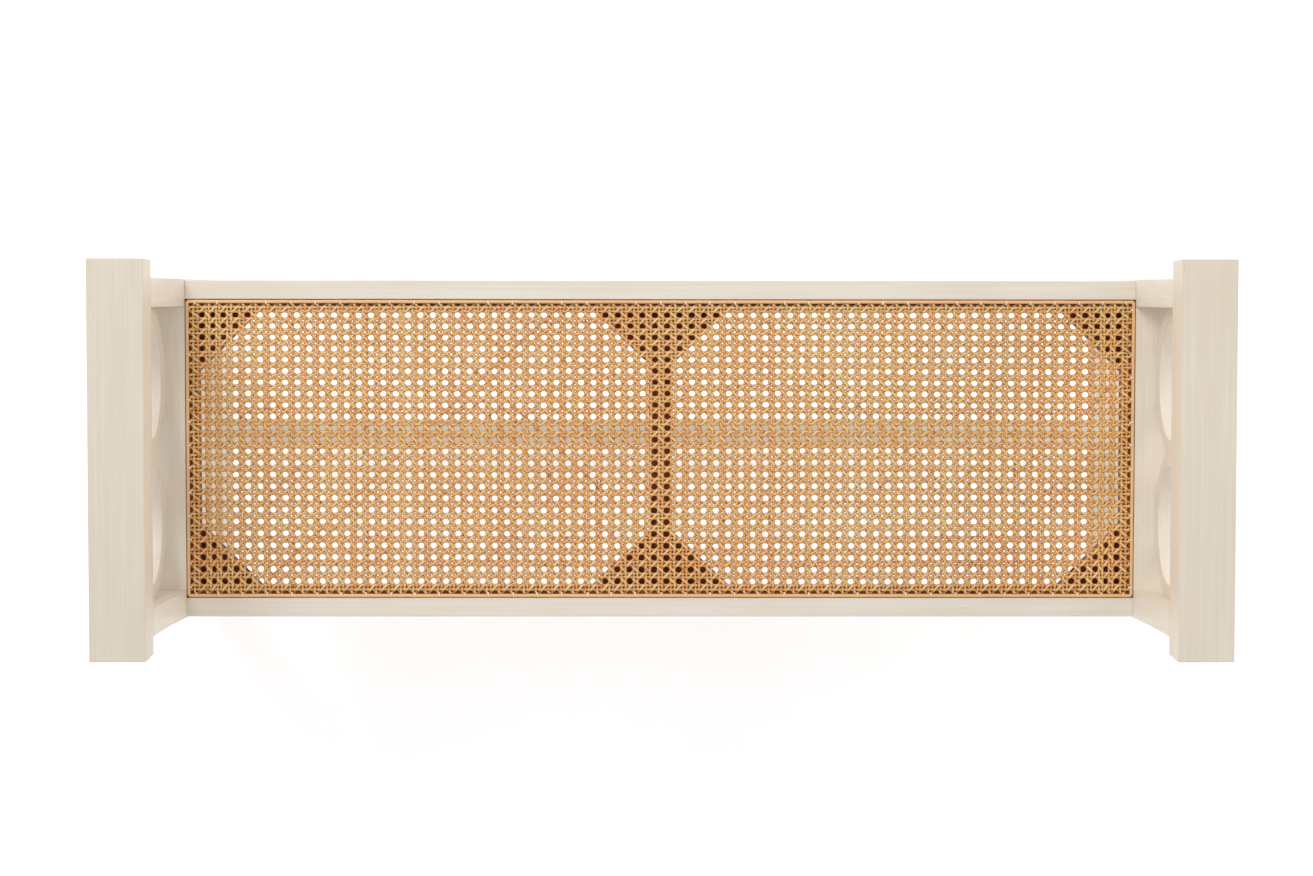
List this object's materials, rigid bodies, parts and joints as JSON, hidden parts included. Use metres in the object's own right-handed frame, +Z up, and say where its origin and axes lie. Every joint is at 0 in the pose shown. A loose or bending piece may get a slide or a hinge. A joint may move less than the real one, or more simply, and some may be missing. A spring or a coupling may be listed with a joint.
{
  "type": "bench",
  "caption": "Long cane-seated bench in painted wood, with an arm rail over circle fretwork at each end, a low H stretcher and a drop-in woven seat.",
  "frame": {"origin": "on the floor, under the middle of the seat", "axes": "+X along the bench to its right end, +Y to its back, +Z up"},
  "size_m": [1.37, 0.482, 0.75],
  "materials": {
    "painted_wood": "brushed cream paint, satin, with faint brush and grain lines along each piece",
    "stained_wood": "dark red-brown stained softwood, matt",
    "cane": "natural rattan cane, six-way weave, satin skin",
    "cane_binding": "wide flat strip of natural cane, satin skin",
    "beech": "plain beech dowel",
    "zinc_steel": "zinc plated",
    "nylon": "off-white nylon"
  },
  "bodies": {
    "root": {"arm_cap_left": "painted_wood", "arm_cap_right": "painted_wood", "arm_cap_screws": "zinc_steel", "arm_dowels": "beech", "arm_rail_left": "painted_wood", "arm_rail_right": "painted_wood", "brace_block_back_left": "stained_wood", "brace_block_back_right": "stained_wood", "brace_block_front_left": "stained_wood", "brace_block_front_right": "stained_wood", "brace_block_screws": "zinc_steel", "brace_dowels": "beech", "cane_binder": "cane_binding", "cane_frame_back": "stained_wood", "cane_frame_dowels": "beech", "cane_frame_front": "stained_wood", "cane_frame_left": "stained_wood", "cane_frame_right": "stained_wood", "cane_panel": "cane", "centre_brace": "stained_wood", "corner_block_back_left": "stained_wood", "corner_block_back_right": "stained_wood", "corner_block_front_left": "stained_wood", "corner_block_front_right": "stained_wood", "corner_block_screws": "zinc_steel", "end_cleat_left": "stained_wood", "end_cleat_right": "stained_wood", "end_rail_dowels": "beech", "end_stretcher_dowels": "beech", "end_stretcher_left": "painted_wood", "end_stretcher_right": "painted_wood", "floor_glide_back_left": "nylon", "floor_glide_back_right": "nylon", "floor_glide_front_left": "nylon", "floor_glide_front_right": "nylon", "fret_dowels": "beech", "fret_panel_left": "painted_wood", "fret_panel_right": "painted_wood", "leg_back_left": "painted_wood", "leg_back_right": "painted_wood", "leg_front_left": "painted_wood", "leg_front_right": "painted_wood", "long_stretcher": "painted_wood", "long_stretcher_dowels": "beech", "rail_cleat_back_left": "stained_wood", "rail_cleat_back_right": "stained_wood", "rail_cleat_front_left": "stained_wood", "rail_cleat_front_right": "stained_wood", "seat_end_rail_left": "painted_wood", "seat_end_rail_right": "painted_wood", "seat_panel_screws": "zinc_steel", "seat_rail_back": "painted_wood", "seat_rail_dowels": "beech", "seat_rail_front": "painted_wood"}
  },
  "joints": []
}
